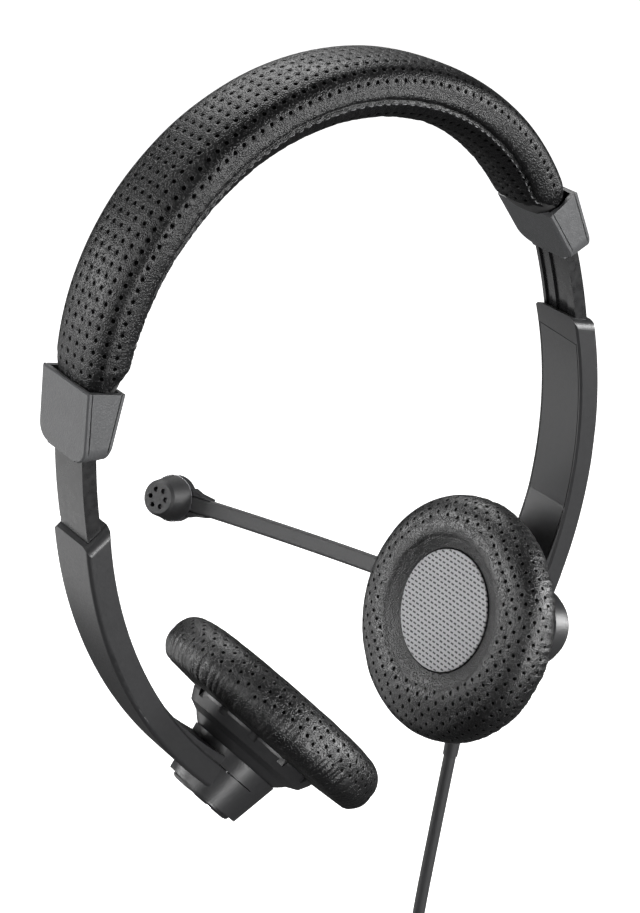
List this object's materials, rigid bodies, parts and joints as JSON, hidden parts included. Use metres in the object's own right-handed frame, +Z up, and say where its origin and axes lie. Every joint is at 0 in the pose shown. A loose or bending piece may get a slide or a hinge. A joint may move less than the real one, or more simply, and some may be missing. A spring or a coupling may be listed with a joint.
{
  "type": "office headset",
  "caption": "Padded over-the-head headset with two round on-ear cups on sliding arms, a rotating bendable boom microphone and a coiled cable with a jack plug.",
  "frame": {"origin": "underside of the padded band at its highest point, where it rests on the crown of the head", "axes": "+X to the wearer's right, +Y to the wearer's front, +Z up"},
  "size_m": [0.1486, 0.175, 0.387],
  "materials": {
    "leatherette": "perforated grained leatherette, satin",
    "foam": "soft open-cell foam",
    "spring_steel": "rolled spring steel",
    "wire": "thin sleeved wire",
    "cap_plastic": "spark-textured grey plastic",
    "arm_plastic": "fine matt black plastic",
    "strap_plastic": "semi-gloss black plastic",
    "screw_steel": "zinc-plated steel",
    "bright_trim": "polished trim",
    "scrim_cloth": "woven grey cloth with a small broken check",
    "speaker_plastic": "plain moulded plastic",
    "magnet": "plated magnet",
    "board": "solder-masked board",
    "rubber": "soft matt rubber",
    "cord": "matt jacket",
    "contact": "gold-plated",
    "insulator": "black insulating rings",
    "tie": "hook-and-loop strap"
  },
  "bodies": {
    "headband": {"band_cover": "leatherette", "band_foam": "foam", "spring_strip": "spring_steel", "link_wire": "wire", "cap_screws": "screw_steel", "right_cap_outer_plate": "cap_plastic", "right_cap_inner_plate": "cap_plastic", "right_cap_frame": "cap_plastic", "right_slider_strap": "strap_plastic", "left_cap_outer_plate": "cap_plastic", "left_cap_inner_plate": "cap_plastic", "left_cap_frame": "cap_plastic", "left_slider_strap": "strap_plastic"},
    "right_arm": {"right_arm_shell": "arm_plastic", "right_arm_cover": "arm_plastic", "right_detent_spring": "spring_steel", "right_arm_screws": "screw_steel", "right_cup_screw": "screw_steel", "right_cup_nut": "screw_steel", "boom_washer": "spring_steel", "boom_cap": "arm_plastic"},
    "right_gimbal": {"right_cup_washer": "speaker_plastic"},
    "right_cup": {"right_dish": "arm_plastic", "right_baffle": "speaker_plastic", "right_ear_pad": "leatherette", "right_scrim": "scrim_cloth", "right_driver_frame": "speaker_plastic", "right_driver_cone": "insulator", "right_driver_magnet": "magnet", "terminal_board": "board", "strain_relief": "rubber", "cable": "cord", "cable_coil": "cord", "coil_tie": "tie", "plug_relief": "rubber", "plug_body": "arm_plastic", "plug_pin": "contact", "plug_bands": "insulator"},
    "boom": {"boom_hub": "arm_plastic", "boom_arm": "rubber", "mic_housing": "arm_plastic", "mic_ring": "bright_trim", "mic_cap": "rubber", "mic_capsule": "magnet"},
    "left_arm": {"left_arm_shell": "arm_plastic", "left_arm_cover": "arm_plastic", "left_detent_spring": "spring_steel", "left_arm_screws": "screw_steel", "left_cup_screw": "screw_steel", "left_cup_nut": "screw_steel", "left_hub_cap": "arm_plastic", "left_hub_ring": "bright_trim"},
    "left_gimbal": {"left_cup_washer": "speaker_plastic"},
    "left_cup": {"left_dish": "arm_plastic", "left_baffle": "speaker_plastic", "left_ear_pad": "leatherette", "left_scrim": "scrim_cloth", "left_driver_frame": "speaker_plastic", "left_driver_cone": "insulator", "left_driver_magnet": "magnet"}
  },
  "joints": [
    {"name": "right_slide", "type": "hinge", "parent": "headband", "child": "right_arm", "pos_m": [-0.0786, 0, -0.0793], "axis": [0, -1, 0], "range_deg": [-2.3, 5.7]},
    {"name": "right_tilt", "type": "hinge", "parent": "right_arm", "child": "right_gimbal", "pos_m": [0.02765, 0, -0.14632], "axis": [0, -1, 0], "range_deg": [-6, 6]},
    {"name": "right_swivel", "type": "hinge", "parent": "right_gimbal", "child": "right_cup", "pos_m": [0.02765, 0, -0.14632], "axis": [0.506, 0, 0.8625], "range_deg": [-6, 6]},
    {"name": "boom_pivot", "type": "hinge", "parent": "right_arm", "child": "boom", "pos_m": [0.05439, 0, -0.16201], "axis": [0.8625, 0, -0.506], "range_deg": [-40, 240]},
    {"name": "left_slide", "type": "hinge", "parent": "headband", "child": "left_arm", "pos_m": [0.0786, 0, -0.0793], "axis": [0, 1, 0], "range_deg": [-2.3, 5.7]},
    {"name": "left_tilt", "type": "hinge", "parent": "left_arm", "child": "left_gimbal", "pos_m": [-0.02765, 0, -0.14632], "axis": [0, 1, 0], "range_deg": [-6, 6]},
    {"name": "left_swivel", "type": "hinge", "parent": "left_gimbal", "child": "left_cup", "pos_m": [-0.02765, 0, -0.14632], "axis": [-0.506, 0, 0.8625], "range_deg": [-6, 6]}
  ]
}
